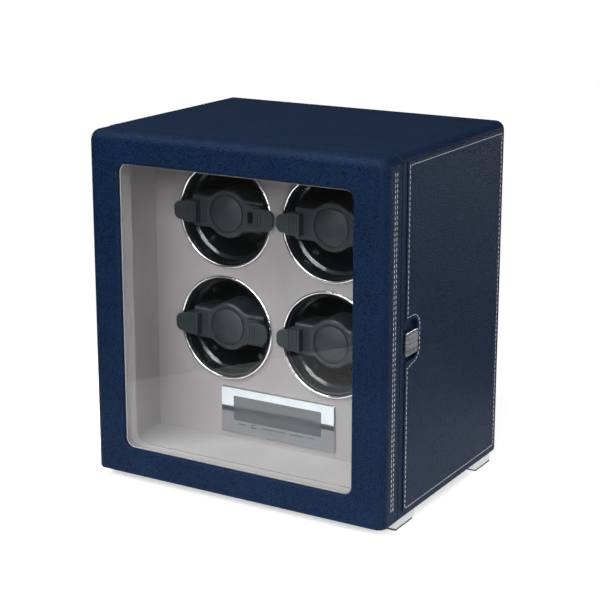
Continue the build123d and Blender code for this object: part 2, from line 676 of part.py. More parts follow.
def placed(pattern, name, x, z):
    with BuildPart() as piece:
        with Locations((x, 0, z)):
            add(pattern)
    save(piece, name)


def turntable_sets():
    """Four sets of cup, gear, pinion, holder and clip. The first clip rests drawn out."""
    cup, gear, pinion = cup_pattern(), gear_pattern(), pinion_pattern()
    holder, clip = holder_pattern(), clip_pattern()
    for (place, (x, z)), (motor_x, motor_z) in zip(TURNTABLES.items(), motor_places()):
        placed(cup, f"cup_{place}", x, z)
        placed(gear, f"drive_gear_{place}", x, z)
        placed(pinion, f"motor_pinion_{place}", motor_x, motor_z)
        placed(holder, f"watch_holder_{place}", x, z)
        out = CLIP_TRAVEL if place == "top_left" else 0
        placed(clip, f"holder_clip_{place}", x + out, z)


# ---- rear ---------------------------------------------------------------------------------

INLET_X = 88.0
INLET_Z = BOTTOM + 46.0
COVER_SCREW_INSET = 6.0


def rear_cover():
    with BuildPart() as cover:
        slab(2 * SIDE_INNER - 0.6, INNER_HEIGHT - 0.6, *COVER_Y, radius=2)
        rod(5.6, *COVER_Y, INLET_X, INLET_Z, Mode.SUBTRACT)
        for x, z in cover_screw_places():
            rod(2.0, *COVER_Y, x, z, Mode.SUBTRACT)
        for row in range(7):
            slab(46, 2.6, *COVER_Y, z=MID_Z + 48 + 6.5 * row, radius=1.2, mode=Mode.SUBTRACT)
    save(cover, "rear_cover")


def cover_screw_places():
    return [(side * (SIDE_INNER - COVER_SCREW_INSET), z)
            for side in (-1, 1)
            for z in (FLOOR_Z + 9, CEILING_Z - 9)]


def cover_screws():
    pattern = screw(3.6, 2.2, WOOD_SCREW_RADIUS, COVER_SCREW)
    places = [(x, COVER_Y[1], z) for x, z in cover_screw_places()]
    screw_group("rear_cover_screws", pattern, places)


def dc_inlet():
    """Round low-voltage socket with a centre pin, held in the rear cover."""
    rear = COVER_Y[1]
    with BuildPart() as inlet:
        rod(7.5, rear, rear + 1.6, INLET_X, INLET_Z)
        rod(5.5, rear - 15, rear, INLET_X, INLET_Z)
        rod(3.3, rear - 9, BACK, INLET_X, INLET_Z, Mode.SUBTRACT)
        rod(1.0, rear - 10, rear - 1, INLET_X, INLET_Z)
    save(inlet, "dc_inlet")


# ---- feet ---------------------------------------------------------------------------------

def feet():
    """Satin metal blocks under the cabinet, each with a rubber pad and two screws."""
    head_radius, head = 4.0, 2.5
    with BuildPart() as blocks:
        for sign in (-1, 1):
            for y_range in FOOT_YS:
                x_range = sorted(sign * x for x in FOOT_X)
                block(x_range, y_range, (FOOT_PAD, BOTTOM))
        ends = blocks.edges().filter_by(Axis.X).group_by(Axis.Z)[0].group_by(Axis.Y)
        chamfer(ends[1] + ends[2], FOOT_TAPER)
        foot_screw_holes()
        with Locations(*[(x, y, FOOT_PAD + head / 2) for x, y in foot_screw_places()]):
            Cylinder(head_radius, head, mode=Mode.SUBTRACT)
    save(blocks, "feet")
    with BuildPart() as pads:
        for sign in (-1, 1):
            x_range = sorted((sign * (FOOT_X[0] + 1.0), sign * FOOT_X[1]))
            (front_low, front_high), (rear_low, rear_high) = FOOT_YS
            block(x_range, (front_low, front_high - FOOT_TAPER - 1), (0, FOOT_PAD))
            block(x_range, (rear_low + FOOT_TAPER + 1, rear_high), (0, FOOT_PAD))
    save(pads, "foot_pads")
    with BuildPart() as screws:
        with Locations(*[(x, y, FOOT_PAD + head / 2) for x, y in foot_screw_places()]):
            Cylinder(head_radius - 0.2, head)
        with Locations(*[(x, y, FOOT_PAD + FOOT_SCREW_LENGTH / 2) for x, y in foot_screw_places()]):
            Cylinder(FOOT_SCREW_RADIUS, FOOT_SCREW_LENGTH)
    save(screws, "foot_screws")


# ---- door -----------------------------------------------------------------------------------

GLASS = 4.0
SEAL = 0.6
LIP_BACK = FRONT + 3.4       # rear of the lip that the glass is pressed against
REBATE = 9.0                 # the glass reaches this far behind the frame
JAMB_STEP = 3.2              # the lined opening behind the glass is this much wider all round
GLASS_Y = (LIP_BACK + SEAL, LIP_BACK + SEAL + GLASS)
LINING_BACK = 1.2
DOOR_TURN_IN = 8.0           # leather turned over the door's back
POCKET_Y = FRONT + 19.0


def door_form(inset):
    """The door frame's outer form with its window, drawn in by inset on every face."""
    below = 2 * DOOR_CORNER_RADIUS
    with BuildPart() as form:
        slab(WIDTH - 2 * inset, BODY_HEIGHT - 2 * inset + below, FRONT + inset, DOOR_BACK - inset,
             z=MID_Z - below / 2, radius=DOOR_CORNER_RADIUS - inset)
        fillet(form.faces().sort_by(Axis.Y)[0].edges(), DOOR_EDGE_RADIUS - inset)
        block((-WIDTH, WIDTH), (FRONT - 1, BACK), (BOTTOM - 2 * below, BOTTOM + inset), Mode.SUBTRACT)
        underside = form.faces().sort_by(Axis.Z)[0].edges()
        fillet(underside.filter_by(lambda e: e.center().Y < DOOR_BACK - inset - 0.1),
               DOOR_BOTTOM_RADIUS - inset)
        if inset == 0:
            fillet(form.faces().sort_by(Axis.Y)[-1].edges(), SEAM_RADIUS)
        slab(WINDOW_WIDTH + 2 * inset, WINDOW_HEIGHT + 2 * inset, FRONT - 1, BACK,
             z=WINDOW_Z, radius=WINDOW_RADIUS + inset, mode=Mode.SUBTRACT)
        front_edges = form.edges().filter_by(
            lambda e: e.center().Y < FRONT + inset + 0.01
            and abs(e.center().X) < WINDOW_WIDTH / 2 + inset + 0.1
            and abs(e.center().Z - WINDOW_Z) < WINDOW_HEIGHT / 2 + inset + 0.1)
        fillet(front_edges, 2.6 - inset)
    return form.part


def door_cuts(inset):
    """Cuts for the glass pocket, hinges and latch, shared by the core and its leather."""
    slab(WINDOW_WIDTH + 2 * REBATE, WINDOW_HEIGHT + 2 * REBATE, LIP_BACK, BACK,
         z=WINDOW_Z, radius=WINDOW_RADIUS + REBATE, mode=Mode.SUBTRACT)
    hinge_corner(inset, DOOR_BACK, -1)
    knuckle_grooves()
    z = BUTTON_Z
    half = STRIKE_WINDOW_HALF
    block(STRIKE_WINDOW_X, (POCKET_Y, BACK), (z - half, z + half), Mode.SUBTRACT)


def door_core():
    with BuildPart() as core:
        add(door_form(LEATHER))
        door_cuts(LEATHER)
    save(core, "door_core")


def door_leather():
    with BuildPart() as wrap:
        add(door_form(0))
        add(door_form(LEATHER), mode=Mode.SUBTRACT)
        door_cuts(0)
        slab(WIDTH - 2 * DOOR_TURN_IN, BODY_HEIGHT - 2 * DOOR_TURN_IN, DOOR_BACK - LINING_BACK, BACK,
             mode=Mode.SUBTRACT)
        leaf_mortises((DOOR_BACK - LEAF_THICKNESS, DOOR_BACK + 1))
        block(STRIKE_X, (DOOR_BACK - LINING_BACK, BACK),
              (BUTTON_Z - STRIKE_HALF, BUTTON_Z + STRIKE_HALF), Mode.SUBTRACT)
    save(wrap, "door_leather")


def frame_slab(margin_out, margin_in, y_front, y_rear):
    """A flat frame round the window; margins count outwards from the window's edge."""
    slab(WINDOW_WIDTH + 2 * margin_out, WINDOW_HEIGHT + 2 * margin_out, y_front, y_rear,
         z=WINDOW_Z, radius=WINDOW_RADIUS + margin_out)
    slab(WINDOW_WIDTH + 2 * margin_in, WINDOW_HEIGHT + 2 * margin_in, y_front, y_rear,
         z=WINDOW_Z, radius=WINDOW_RADIUS + margin_in, mode=Mode.SUBTRACT)


def glazing():
    """Gasket, glass and the frame that holds the glass in from behind."""
    with BuildPart() as seal:
        frame_slab(REBATE - 0.3, 0.2, LIP_BACK, GLASS_Y[0])
    save(seal, "glass_gasket")
    with BuildPart() as glass:
        slab(WINDOW_WIDTH + 2 * REBATE - 0.8, WINDOW_HEIGHT + 2 * REBATE - 0.8, *GLASS_Y,
             z=WINDOW_Z, radius=WINDOW_RADIUS + REBATE - 0.4)
    save(glass, "door_glass")
    with BuildPart() as retainer:
        frame_slab(REBATE, JAMB_STEP + SUEDE, GLASS_Y[1], DOOR_BACK - LINING_BACK)
    save(retainer, "glass_retainer")


def door_lining():
    """Suede on the window's inner edge and on the back of the door."""
    back_y = DOOR_BACK - LINING_BACK
    with BuildPart() as lining:
        slab(WIDTH - 2 * DOOR_TURN_IN, BODY_HEIGHT - 2 * DOOR_TURN_IN, back_y, DOOR_BACK)
        outer = JAMB_STEP + SUEDE
        slab(WINDOW_WIDTH + 2 * outer, WINDOW_HEIGHT + 2 * outer, GLASS_Y[1], back_y,
             z=WINDOW_Z, radius=WINDOW_RADIUS + outer)
        slab(WINDOW_WIDTH + 2 * JAMB_STEP, WINDOW_HEIGHT + 2 * JAMB_STEP, FRONT, BACK,
             z=WINDOW_Z, radius=WINDOW_RADIUS + JAMB_STEP, mode=Mode.SUBTRACT)
        leaf_mortises((back_y, DOOR_BACK + 1))
        block(STRIKE_X, (back_y, BACK), (BUTTON_Z - STRIKE_HALF, BUTTON_Z + STRIKE_HALF), Mode.SUBTRACT)
    save(lining, "door_lining")


# ---- hinges ---------------------------------------------------------------------------------

KNUCKLE_GAP = 0.3


def knuckles(z, levels, bore):
    """Knuckles of one leaf, at the given thirds of the hinge's height, bored for the pin."""
    third = HINGE_HEIGHT / 3
    for level in levels:
        with Locations((HINGE_X, HINGE_Y, z + level * third)):
            Cylinder(KNUCKLE_RADIUS, third - KNUCKLE_GAP)
            Cylinder(bore, third, mode=Mode.SUBTRACT)


def leaf(z, y_range, levels):
    """A leaf's flat part, cut back where the other leaf's knuckles turn."""
    third = HINGE_HEIGHT / 3
    half = HINGE_HEIGHT / 2 - KNUCKLE_GAP / 2
    block((HINGE_X, HINGE_X + LEAF_WIDTH), y_range, (z - half, z + half))
    for level in (-1, 0, 1):
        if level not in levels:
            with Locations((HINGE_X, HINGE_Y, z + level * third)):
                Cylinder(HINGE_GROOVE, third + KNUCKLE_GAP, mode=Mode.SUBTRACT)


def hinges():
    """Two small butt hinges: three knuckles each, the middle one on the door."""
    cabinet_y = (CABINET_FRONT, CABINET_FRONT + LEAF_THICKNESS)
    door_y = (DOOR_BACK - LEAF_THICKNESS, DOOR_BACK)
    for name, y_range, levels, bore in (
            ("hinge_cabinet_leaves", cabinet_y, (-1, 1), PIN_RADIUS),
            ("hinge_door_leaves", door_y, (0,), PIN_RADIUS + RUNNING)):
        with BuildPart() as leaves:
            for z in HINGE_ZS:
                leaf(z, y_range, levels)
            for z in HINGE_ZS:
                knuckles(z, levels, bore)
        save(leaves, name)
    with BuildPart() as pins:
        for z in HINGE_ZS:
            with Locations((HINGE_X, HINGE_Y, z)):
                Cylinder(PIN_RADIUS, HINGE_HEIGHT)
    save(pins, "hinge_pins")


# ---- latch ----------------------------------------------------------------------------------

def latch():
    """Push button with its bolt and spring in a housing, and the strike plate on the door."""
    z = BUTTON_Z
    stem_z = (z - STEM_HALF, z + STEM_HALF)
    with BuildPart() as housing:
        with BuildSketch(sideways(HOUSING_X[1])) as outline:
            with Locations((sum(NOTCH_Y) / 2, NOTCH_Z)):
                RectangleRounded(NOTCH_Y[1] - NOTCH_Y[0], NOTCH_HEIGHT, NOTCH_RADIUS)
        extrude(amount=ESCUTCHEON)
        block(HOUSING_X, HOUSING_Y, (z - HOUSING_HALF, z + HOUSING_HALF))
        inner_z = (z - HOUSING_HALF + HOUSING_WALL, z + HOUSING_HALF - HOUSING_WALL)
        block((HOUSING_X[0] + HOUSING_WALL, HOUSING_X[1]),
              (HOUSING_Y[0] + HOUSING_WALL, HOUSING_Y[1] - HOUSING_WALL), inner_z, Mode.SUBTRACT)
        clear = STEM_HALF + STEM_GAP
        block((HOUSING_X[1] - 1, SIDE), (STEM_Y[0] - STEM_GAP, STEM_Y[1] + STEM_GAP), (z - clear, z + clear),
              Mode.SUBTRACT)
        block(CHANNEL_X, (HOUSING_Y[0] - 1, HOUSING_Y[0] + 2), (z - CHANNEL_HALF, z + CHANNEL_HALF),
              Mode.SUBTRACT)
    save(housing, "latch_housing")
    with BuildPart() as button:
        block((BUTTON_OUT - BUTTON_PLATE, BUTTON_OUT), BUTTON_Y,
              (z - BUTTON_HEIGHT / 2, z + BUTTON_HEIGHT / 2))
        fillet(button.edges().filter_by(Axis.X), 1.0)
        fillet(button.faces().sort_by(Axis.X)[-1].edges(), 0.4)
        block((BOLT_X[1], BUTTON_OUT - BUTTON_PLATE), STEM_Y, stem_z)
    save(button, "latch_button")
    barb_y = (DOOR_BACK - LINING_BACK - 2.8, DOOR_BACK - LINING_BACK - 0.4)
    with BuildPart() as bolt:
        block(BOLT_X, (barb_y[0], STEM_Y[1]), stem_z)
        with BuildSketch(Plane.XY.offset(stem_z[0])) as barb:
            with BuildLine():
                Polyline((BOLT_X[1], barb_y[0]), (BOLT_X[1] + BARB, barb_y[1] - 0.8),
                         (BOLT_X[1] + BARB, barb_y[1]), (BOLT_X[1], barb_y[1]), close=True)
            make_face()
        extrude(amount=2 * STEM_HALF)
    save(bolt, "latch_bolt")
    with BuildPart() as strike:
        block(STRIKE_X, (DOOR_BACK - LINING_BACK, DOOR_BACK), (z - STRIKE_HALF, z + STRIKE_HALF))
        block(STRIKE_WINDOW_X, (FRONT, BACK), (z - STRIKE_WINDOW_HALF, z + STRIKE_WINDOW_HALF),
              Mode.SUBTRACT)
        for side in (-1, 1):
            rod(1.5, FRONT, BACK, sum(STRIKE_X) / 2, z + side * 9, Mode.SUBTRACT)
    save(strike, "latch_strike")
    latch_spring()


def latch_spring():
    """Small coil spring that pushes the button out, round an axis along X."""
    wire, coil_radius, turns = 0.25, 2.4, 3.5
    start = HOUSING_X[0] + HOUSING_WALL + wire
    length = BOLT_X[0] - HOUSING_X[0] - HOUSING_WALL - 2 * wire
    axis_y = sum(STEM_Y) / 2
    with BuildPart() as spring:
        with BuildLine() as path:
            Helix(pitch=length / turns, height=length, radius=coil_radius,
                  center=(start, axis_y, BUTTON_Z), direction=(1, 0, 0))
        with BuildSketch(Plane(origin=path.line @ 0, z_dir=path.line % 0)):
            Circle(wire)
        sweep(path=path.line, is_frenet=True)
    save(spring, "latch_spring")


# ---- the whole box ------------------------------------------------------------------------------

carcass_board("carcass_top_board", (-SIDE, SIDE), (CEILING_Z, TOP))
carcass_board("carcass_bottom_board", (-SIDE, SIDE), (BOTTOM, FLOOR_Z))
carcass_board("carcass_left_board", (-SIDE, -SIDE_INNER), (FLOOR_Z, CEILING_Z))
carcass_board("carcass_right_board", (SIDE_INNER, SIDE), (FLOOR_Z, CEILING_Z))
cabinet_leather()
side_panel("side_panel_left", -1)
side_panel("side_panel_right", +1)
cavity_lining()
fascia("fascia_suede", FASCIA_Y, FASCIA_Y + SUEDE)
fascia("fascia_board", FASCIA_Y + SUEDE, FASCIA_BACK)
bezel_rings()
control_panel()
wood_battens()
drive_plate()
plate_screws()
spindle_bushes()
gear_motors()
motor_screws()
turntable_sets()
rear_cover()
cover_screws()
dc_inlet()
feet()
door_core()
door_leather()
glazing()
door_lining()
hinges()
latch()
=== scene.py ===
import json
import math

import bmesh
import bpy
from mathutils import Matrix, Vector


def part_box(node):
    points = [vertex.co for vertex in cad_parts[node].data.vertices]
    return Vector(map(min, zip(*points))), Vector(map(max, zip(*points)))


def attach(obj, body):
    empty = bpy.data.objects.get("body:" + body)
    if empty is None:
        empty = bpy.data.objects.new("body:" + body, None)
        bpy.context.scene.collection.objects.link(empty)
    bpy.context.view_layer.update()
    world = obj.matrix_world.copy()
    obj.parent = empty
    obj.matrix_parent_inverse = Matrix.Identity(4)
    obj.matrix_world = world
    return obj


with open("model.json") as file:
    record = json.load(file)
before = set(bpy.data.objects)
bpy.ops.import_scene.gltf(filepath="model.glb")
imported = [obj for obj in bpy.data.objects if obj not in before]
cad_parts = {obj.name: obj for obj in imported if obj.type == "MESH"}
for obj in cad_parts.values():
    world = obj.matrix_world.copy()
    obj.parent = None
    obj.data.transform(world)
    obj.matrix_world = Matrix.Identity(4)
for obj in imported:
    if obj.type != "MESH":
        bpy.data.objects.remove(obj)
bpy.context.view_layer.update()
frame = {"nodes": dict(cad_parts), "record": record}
NODES = frame["nodes"]
MM = 0.001


# ---- node helpers ---------------------------------------------------------------------

class Material:
    """A node material with one Principled shader and object coordinates in metres."""

    def __init__(self, name):
        self.material = bpy.data.materials.new(name)
        self.material.use_nodes = True
        self.tree = self.material.node_tree
        self.shader = self.tree.nodes["Principled BSDF"]
        self.place = self.add("ShaderNodeTexCoord").outputs["Object"]

    def add(self, kind, **values):
        node = self.tree.nodes.new(kind)
        for key, value in values.items():
            setattr(node, key, value)
        return node

    def link(self, source, target):
        self.tree.links.new(source, target)

    def set(self, **values):
        """Constants on the shader's own sockets, named with _ for a space."""
        for key, value in values.items():
            self.shader.inputs[key.replace("_", " ")].default_value = value

    def noise(self, scale, detail=4.0, roughness=0.6, stretch=None):
        """Noise at a scale in cells per metre, stretched along the axes if asked."""
        node = self.add("ShaderNodeTexNoise")
        node.inputs["Scale"].default_value = scale
        node.inputs["Detail"].default_value = detail
        node.inputs["Roughness"].default_value = roughness
        self.link(self.stretched(stretch), node.inputs["Vector"])
        return node.outputs["Fac"]

    def cells(self, scale, feature="F1", stretch=None, wobble=0.0):
        """Voronoi cells, with their outlines bent by noise if asked."""
        node = self.add("ShaderNodeTexVoronoi", feature=feature)
        node.inputs["Scale"].default_value = scale
        place = self.stretched(stretch)
        if wobble:
            bend = self.add("ShaderNodeTexNoise")
            bend.inputs["Scale"].default_value = scale * 0.7
            self.link(place, bend.inputs["Vector"])
            mix = self.add("ShaderNodeVectorMath", operation="MULTIPLY_ADD")
            mix.inputs[1].default_value = (wobble / scale,) * 3
            self.link(bend.outputs["Color"], mix.inputs[0])
            self.link(place, mix.inputs[2])
            place = mix.outputs[0]
        self.link(place, node.inputs["Vector"])
        return node.outputs["Distance"]

    def stretched(self, stretch):
        if stretch is None:
            return self.place
        mapping = self.add("ShaderNodeMapping")
        mapping.inputs["Scale"].default_value = stretch
        self.link(self.place, mapping.inputs["Vector"])
        return mapping.outputs["Vector"]

    def ramp(self, value, *stops):
        """Maps a value to a colour or a level, given as (position, colour or level)."""
        node = self.add("ShaderNodeValToRGB")
        elements = node.color_ramp.elements
        while len(elements) < len(stops):
            elements.new(0.5)
        for element, (position, colour) in zip(elements, stops):
            element.position = position
            element.color = (*(colour if isinstance(colour, tuple) else (colour,) * 3), 1.0)
        self.link(value, node.inputs["Fac"])
        return node.outputs["Color"]

    def blend(self, kind, factor, a, b):
        """Mixes two colours; factor is a number or a socket."""
        node = self.add("ShaderNodeMix", data_type="RGBA", blend_type=kind)
        for key, value in (("Factor", factor), ("A", a), ("B", b)):
            socket = node.inputs[key]
            if isinstance(value, bpy.types.NodeSocket):
                self.link(value, socket)
            else:
                socket.default_value = (*value, 1.0) if isinstance(value, tuple) else value
        return node.outputs["Result"]

    def math(self, operation, a, b):
        node = self.add("ShaderNodeMath", operation=operation)
        for socket, value in zip(node.inputs, (a, b)):
            if isinstance(value, bpy.types.NodeSocket):
                self.link(value, socket)
            else:
                socket.default_value = value
        return node.outputs[0]

    def bump(self, height, distance, strength=1.0, under=None):
        """Relief whose full height is distance, in metres."""
        node = self.add("ShaderNodeBump")
        node.inputs["Distance"].default_value = distance
        node.inputs["Strength"].default_value = strength
        self.link(height, node.inputs["Height"])
        if under is not None:
            self.link(under, node.inputs["Normal"])
        return node.outputs["Normal"]

    def colour(self, socket):
        self.link(socket, self.shader.inputs["Base Color"])

    def roughness(self, socket):
        self.link(socket, self.shader.inputs["Roughness"])

    def normal(self, socket):
        self.link(socket, self.shader.inputs["Normal"])


# ---- materials ------------------------------------------------------------------------

PEBBLES_PER_METRE = 760
PEBBLE_WOBBLE = 0.9
PEBBLE_HEIGHT = 0.16 * MM
CREASE_DEPTH = 0.1 * MM


def leather():
    """Navy pebbled leather: small domed grains, with painted shade darkening the creases between them and
    a painted highlight lightening the top of each grain.
    """
    m = Material("navy_leather")
    edges = m.cells(PEBBLES_PER_METRE, "DISTANCE_TO_EDGE", wobble=PEBBLE_WOBBLE)
    creases = m.ramp(edges, (0.0, 0.0), (0.2, 1.0))
    centres = m.cells(PEBBLES_PER_METRE, "F1", wobble=PEBBLE_WOBBLE)
    domes = m.ramp(centres, (0.0, 1.0), (0.8, 0.0))
    fine = m.noise(4200, 3)
    mottle = m.noise(26, 5)
    base = m.ramp(mottle, (0.3, (0.0025, 0.0128, 0.0400)), (0.7, (0.0036, 0.0166, 0.0500)))
    # painted shade: the colour is darkened along the creases between the grains
    base = m.blend("MULTIPLY", 0.75, base, creases)
    # painted highlight: the colour is lightened towards the top of each grain
    m.colour(m.blend("ADD", m.math("MULTIPLY", domes, 0.35), base, (0.006, 0.012, 0.024)))
    m.roughness(m.ramp(m.noise(300, 3), (0.25, 0.32), (0.75, 0.44)))
    relief = m.bump(fine, 0.05 * MM, 0.5)
    relief = m.bump(domes, PEBBLE_HEIGHT, 0.9, relief)
    m.normal(m.bump(creases, CREASE_DEPTH, 0.8, relief))
    m.set(Specular_IOR_Level=0.07)
    return m.material


def suede():
    """Warm grey suede with a short nap that lies in drifts."""
    m = Material("grey_suede")
    drift = m.noise(14, 5, 0.65, (1.0, 1.0, 0.45))
    nap = m.noise(1500, 3, 0.7)
    base = m.ramp(drift, (0.3, (0.305, 0.274, 0.282)), (0.7, (0.372, 0.337, 0.345)))
    base = m.blend("MULTIPLY", 0.32, base, m.ramp(nap, (0.3, 0.45), (0.7, 1.0)))
    m.colour(base)
    waves = m.bump(m.noise(420, 4), 0.04 * MM, 0.35)
    m.normal(m.bump(nap, 0.05 * MM, 0.5, waves))
    m.set(Roughness=0.95, Specular_IOR_Level=0.15, Sheen_Weight=0.35, Sheen_Roughness=0.45)
    return m.material


def fibreboard():
    m = Material("fibreboard")
    base = m.ramp(m.noise(900, 4), (0.3, (0.30, 0.20, 0.115)), (0.7, (0.42, 0.30, 0.185)))
    m.colour(m.blend("MULTIPLY", 0.3, base, m.ramp(m.noise(60, 3), (0.3, 0.6), (0.7, 1.0))))
    m.normal(m.bump(m.noise(1600, 3), 0.08 * MM, 0.5))
    m.set(Roughness=0.85)
    return m.material


def metal(name, colour, rough_low, rough_high, brushed=None, grain=0.0):
    """Bare metal whose roughness varies a little; brushed stretches the variation into streaks."""
    m = Material(name)
    streaks = m.noise(400 if brushed else 60, 4, 0.6, brushed)
    m.colour(m.ramp(streaks, (0.3, tuple(0.93 * c for c in colour)), (0.7, colour)))
    m.roughness(m.ramp(streaks, (0.25, rough_low), (0.75, rough_high)))
    if grain:
        m.normal(m.bump(streaks, grain, 0.6))
    m.set(Metallic=1.0)
    return m.material


def plastic(name, colour, rough_low, rough_high, texture=0.03 * MM, specular=0.5, scale=1800):
    """Moulded plastic: faint colour drift, fine texture, and slightly uneven gloss."""
    m = Material(name)
    drift = m.noise(35, 4)
    m.colour(m.ramp(drift, (0.3, tuple(0.88 * c for c in colour)), (0.7, colour)))
    m.roughness(m.ramp(m.noise(220, 4), (0.3, rough_low), (0.7, rough_high)))
    if texture:
        m.normal(m.bump(m.noise(scale, 3), texture, 0.5))
    m.set(Specular_IOR_Level=specular)
    return m.material


def rubber(name):
    m = Material(name)
    dust = m.noise(90, 5)
    m.colour(m.ramp(dust, (0.35, (0.010, 0.010, 0.011)), (0.75, (0.024, 0.024, 0.026))))
    m.roughness(m.ramp(dust, (0.3, 0.78), (0.7, 0.92)))
    m.normal(m.bump(m.noise(1400, 3), 0.06 * MM, 0.6))
    return m.material


def window_glass():
    """Clear float glass. Lamps shine straight through it, and it has a faint grey-green tint."""
    m = Material("clear_glass")
    tint = (0.95, 0.97, 0.965, 1.0)
    m.set(Base_Color=tint, Transmission_Weight=1.0, IOR=1.45, Roughness=0.0)
    clear = m.add("ShaderNodeBsdfTransparent")
    clear.inputs["Color"].default_value = tint
    path = m.add("ShaderNodeLightPath")
    either = m.math("MAXIMUM", path.outputs["Is Shadow Ray"], path.outputs["Is Diffuse Ray"])
    mix = m.add("ShaderNodeMixShader")
    m.link(either, mix.inputs[0])
    m.link(m.shader.outputs[0], mix.inputs[1])
    m.link(clear.outputs[0], mix.inputs[2])
    m.link(mix.outputs[0], m.tree.nodes["Material Output"].inputs["Surface"])
    return m.material


def display():
    """Unlit liquid-crystal window: dark, glossy and very slightly uneven."""
    m = Material("display")
    m.colour(m.ramp(m.noise(50, 3), (0.3, (0.030, 0.033, 0.040)), (0.7, (0.040, 0.044, 0.052))))
    m.roughness(m.ramp(m.noise(30, 2), (0.3, 0.08), (0.7, 0.11)))
    m.set(IOR=1.62, Coat_Weight=0.3, Coat_Roughness=0.03)
    return m.material


def thread():
    """Twisted off-white sewing thread."""
    m = Material("white_thread")
    twist = m.noise(2600, 3, 0.6)
    m.colour(m.ramp(twist, (0.3, (0.34, 0.35, 0.36)), (0.7, (0.58, 0.59, 0.60))))
    m.normal(m.bump(twist, 0.1 * MM, 0.7))
    m.set(Roughness=0.8, Sheen_Weight=0.2)
    return m.material


def circuit():
    m = Material("circuit_board")
    tracks = m.ramp(m.cells(420, "DISTANCE_TO_EDGE", stretch=(1.0, 1.0, 1.0)), (0.04, 1.0), (0.09, 0.0))
    m.colour(m.blend("MIX", tracks, (0.006, 0.075, 0.03), (0.02, 0.16, 0.06)))
    m.roughness(m.ramp(tracks, (0.2, 0.35), (0.8, 0.5)))
    m.normal(m.bump(tracks, 0.05 * MM, 0.6))
    return m.material


MATERIALS = {
    "navy_leather": leather(),
    "grey_suede": suede(),
    "box_wood": fibreboard(),
    "clear_glass": window_glass(),
    "bright_chrome": metal("bright_chrome", (0.90, 0.90, 0.91), 0.035, 0.07),
    "mirror_plate": metal("mirror_plate", (0.50, 0.53, 0.56), 0.03, 0.06),
    "display": display(),
    "circuit_board": circuit(),
    "satin_aluminium": metal("satin_aluminium", (0.80, 0.81, 0.83), 0.22, 0.34, (1.0, 0.06, 1.0),
                             0.02 * MM),
    "pad_rubber": rubber("black_rubber"),
    "plated_steel": metal("plated_steel", (0.62, 0.62, 0.63), 0.25, 0.4, (0.1, 1.0, 1.0),
                          0.01 * MM),
    "latch_black": plastic("latch_black", (0.012, 0.014, 0.02), 0.3, 0.42),
    "bronze": metal("bronze", (0.72, 0.48, 0.22), 0.28, 0.42, (1.0, 0.1, 1.0), 0.02 * MM),
    "cup_plastic": plastic("cup_plastic", (0.0065, 0.0085, 0.011), 0.14, 0.2, 0),
    "gear_plastic": plastic("gear_plastic", (0.66, 0.65, 0.60), 0.35, 0.5),
    "holder_plastic": plastic("holder_plastic", (0.019, 0.023, 0.028), 0.42, 0.52, 0.02 * MM, 0.45, 2600),
    "rear_panel": plastic("rear_panel", (0.010, 0.011, 0.014), 0.5, 0.65, 0.09 * MM, 0.4, 1300),
    "inlet_plastic": plastic("inlet_plastic", (0.008, 0.008, 0.009), 0.35, 0.45),
}
THREAD = thread()
# painted highlight: light grey for the bead that stands in for the glint along the window glass's edge
EDGE_HIGHLIGHT = plastic("painted_edge_highlight", (0.30, 0.30, 0.30), 0.15, 0.25, 0)
MARK = plastic("print_grey", (0.04, 0.042, 0.048), 0.4, 0.5)


def dress_nodes():
    """Gives each CAD node the material of its slot in the record."""
    for entry in frame["record"]["subparts"]:
        mesh = NODES[entry["node"]].data
        mesh.materials.clear()
        mesh.materials.append(MATERIALS[entry["material_slot"]])


# ---- pieces ---------------------------------------------------------------------------

def finish_piece(bm, name, material, body):
    """Turns a bmesh into a named piece that rides on a body."""
    mesh = bpy.data.meshes.new(name)
    bm.to_mesh(mesh)
    bm.free()
    mesh.materials.append(material)
    piece = bpy.data.objects.new(name, mesh)
    bpy.context.scene.collection.objects.link(piece)
    for polygon in mesh.polygons:
        polygon.use_smooth = True
    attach(piece, body)
    return piece


def join_rings(bm, ring, following):
    """A band of faces between two rings of the same number of points."""
    count = len(ring)
    for k in range(count):
        ahead = (k + 1) % count
        bm.faces.new((ring[k], ring[ahead], following[ahead], following[k]))


STITCH_PITCH = 4.2 * MM
STITCH_LENGTH = 3.7 * MM
STITCH_RADIUS = 0.3 * MM
STITCH_BOW = 0.12 * MM
STITCH_STEPS = 6
STITCH_SIDES = 8


def one_stitch(bm, middle, along, out):
    """A short bow of thread that dips into the leather at both ends."""
    side = along.cross(out).normalized()
    rings = []
    for step in range(STITCH_STEPS + 1):
        t = step / STITCH_STEPS * 2 - 1
        thick = STITCH_RADIUS * math.sqrt(max(0.0, 1 - abs(t) ** 4) * 0.92 + 0.08)
        centre = middle + along * (t * STITCH_LENGTH / 2) + out * (STITCH_BOW * (1 - 3.2 * t * t))
        ring = []
        for k in range(STITCH_SIDES):
            angle = 2 * math.pi * k / STITCH_SIDES
            spoke = side * math.cos(angle) + out * math.sin(angle) * 0.75
            ring.append(bm.verts.new(centre + spoke * thick))
        rings.append(ring)
    for low, high in zip(rings, rings[1:]):
        join_rings(bm, low, high)
    bm.faces.new(list(reversed(rings[0])))
    bm.faces.new(rings[-1])


def run_of_stitches(bm, points, out):
    """Stitches along a polyline, evenly spaced between its ends."""
    lengths = [(b - a).length for a, b in zip(points, points[1:])]
    total = sum(lengths)
    count = max(1, round(total / STITCH_PITCH))
    for index in range(count):
        target = (index + 0.5) * total / count
        for a, b, length in zip(points, points[1:], lengths):
            if target <= length or b is points[-1]:
                along = (b - a).normalized()
                one_stitch(bm, a + along * min(target, length), along, out)
                break
            target -= length


